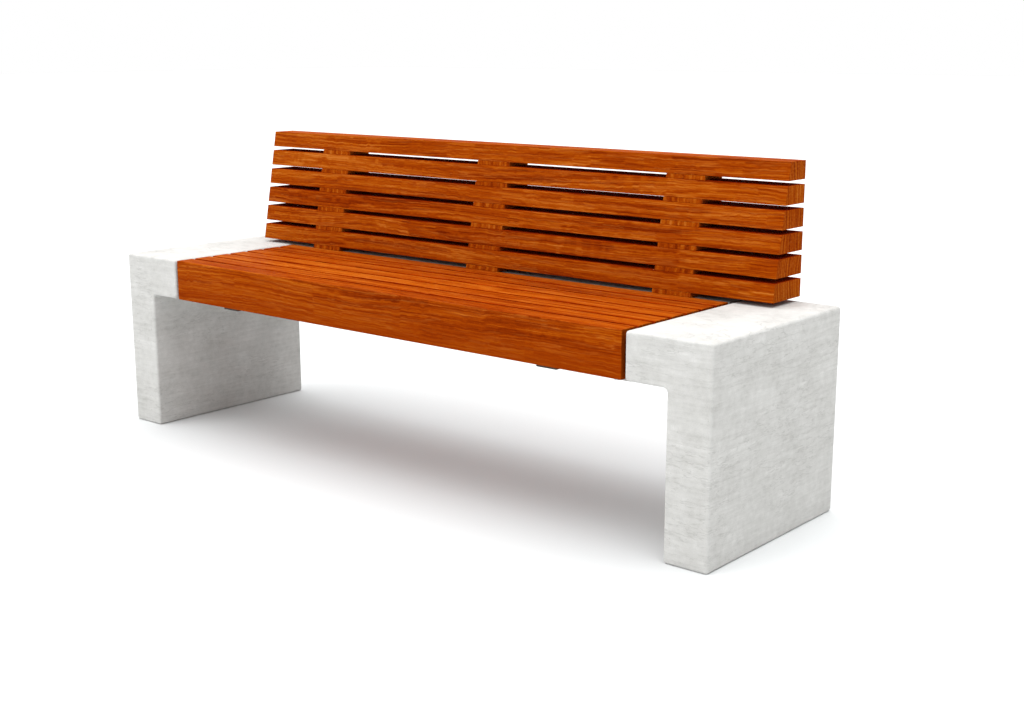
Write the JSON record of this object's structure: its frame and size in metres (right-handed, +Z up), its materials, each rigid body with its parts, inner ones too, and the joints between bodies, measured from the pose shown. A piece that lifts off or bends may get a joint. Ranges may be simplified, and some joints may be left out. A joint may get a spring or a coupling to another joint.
{
  "type": "garden bench",
  "caption": "Long garden bench with two concrete end blocks, a seat of hardwood beams on edge and a leaning backrest of stacked hardwood slats.",
  "frame": {"origin": "on the ground under the middle of the bench's box", "axes": "+X along the bench, +Y from the front edge towards the back, +Z up"},
  "size_m": [1.8, 0.5, 0.75],
  "materials": {
    "concrete": "smooth cast, light grey, faint mottling",
    "beam_wood": "oiled orange-brown hardwood, satin",
    "slat_wood": "oiled orange-brown hardwood, satin",
    "spacer_wood": "oiled hardwood with upright grain",
    "galvanised_steel": "hot-dip galvanised",
    "dark_steel": "weathered dark galvanised",
    "zinc_fasteners": "zinc plated"
  },
  "bodies": {
    "root": {"angle_screw_left_front": "zinc_fasteners", "angle_screw_left_rear": "zinc_fasteners", "angle_screw_right_front": "zinc_fasteners", "angle_screw_right_rear": "zinc_fasteners", "back_rod_centre": "zinc_fasteners", "back_rod_insert_centre": "zinc_fasteners", "back_rod_insert_left": "zinc_fasteners", "back_rod_insert_right": "zinc_fasteners", "back_rod_left": "zinc_fasteners", "back_rod_nut_centre": "zinc_fasteners", "back_rod_nut_left": "zinc_fasteners", "back_rod_nut_right": "zinc_fasteners", "back_rod_right": "zinc_fasteners", "back_rod_washer_centre": "zinc_fasteners", "back_rod_washer_left": "zinc_fasteners", "back_rod_washer_right": "zinc_fasteners", "back_slat_1": "slat_wood", "back_slat_2": "slat_wood", "back_slat_3": "slat_wood", "back_slat_4": "slat_wood", "back_slat_5": "slat_wood", "back_slat_6": "slat_wood", "concrete_end_left": "concrete", "concrete_end_right": "concrete", "end_angle_left": "galvanised_steel", "end_angle_right": "galvanised_steel", "rear_tube": "galvanised_steel", "seat_beam_1": "beam_wood", "seat_beam_2": "beam_wood", "seat_beam_3": "beam_wood", "seat_beam_4": "beam_wood", "seat_beam_5": "beam_wood", "seat_beam_6": "beam_wood", "seat_beam_7": "beam_wood", "seat_strap_left": "dark_steel", "seat_strap_right": "dark_steel", "socket_left_front": "zinc_fasteners", "socket_left_rear": "zinc_fasteners", "socket_right_front": "zinc_fasteners", "socket_right_rear": "zinc_fasteners", "spacer_centre_1": "spacer_wood", "spacer_centre_2": "spacer_wood", "spacer_centre_3": "spacer_wood", "spacer_centre_4": "spacer_wood", "spacer_centre_5": "spacer_wood", "spacer_centre_6": "spacer_wood", "spacer_left_1": "spacer_wood", "spacer_left_2": "spacer_wood", "spacer_left_3": "spacer_wood", "spacer_left_4": "spacer_wood", "spacer_left_5": "spacer_wood", "spacer_left_6": "spacer_wood", "spacer_right_1": "spacer_wood", "spacer_right_2": "spacer_wood", "spacer_right_3": "spacer_wood", "spacer_right_4": "spacer_wood", "spacer_right_5": "spacer_wood", "spacer_right_6": "spacer_wood"}
  },
  "joints": []
}
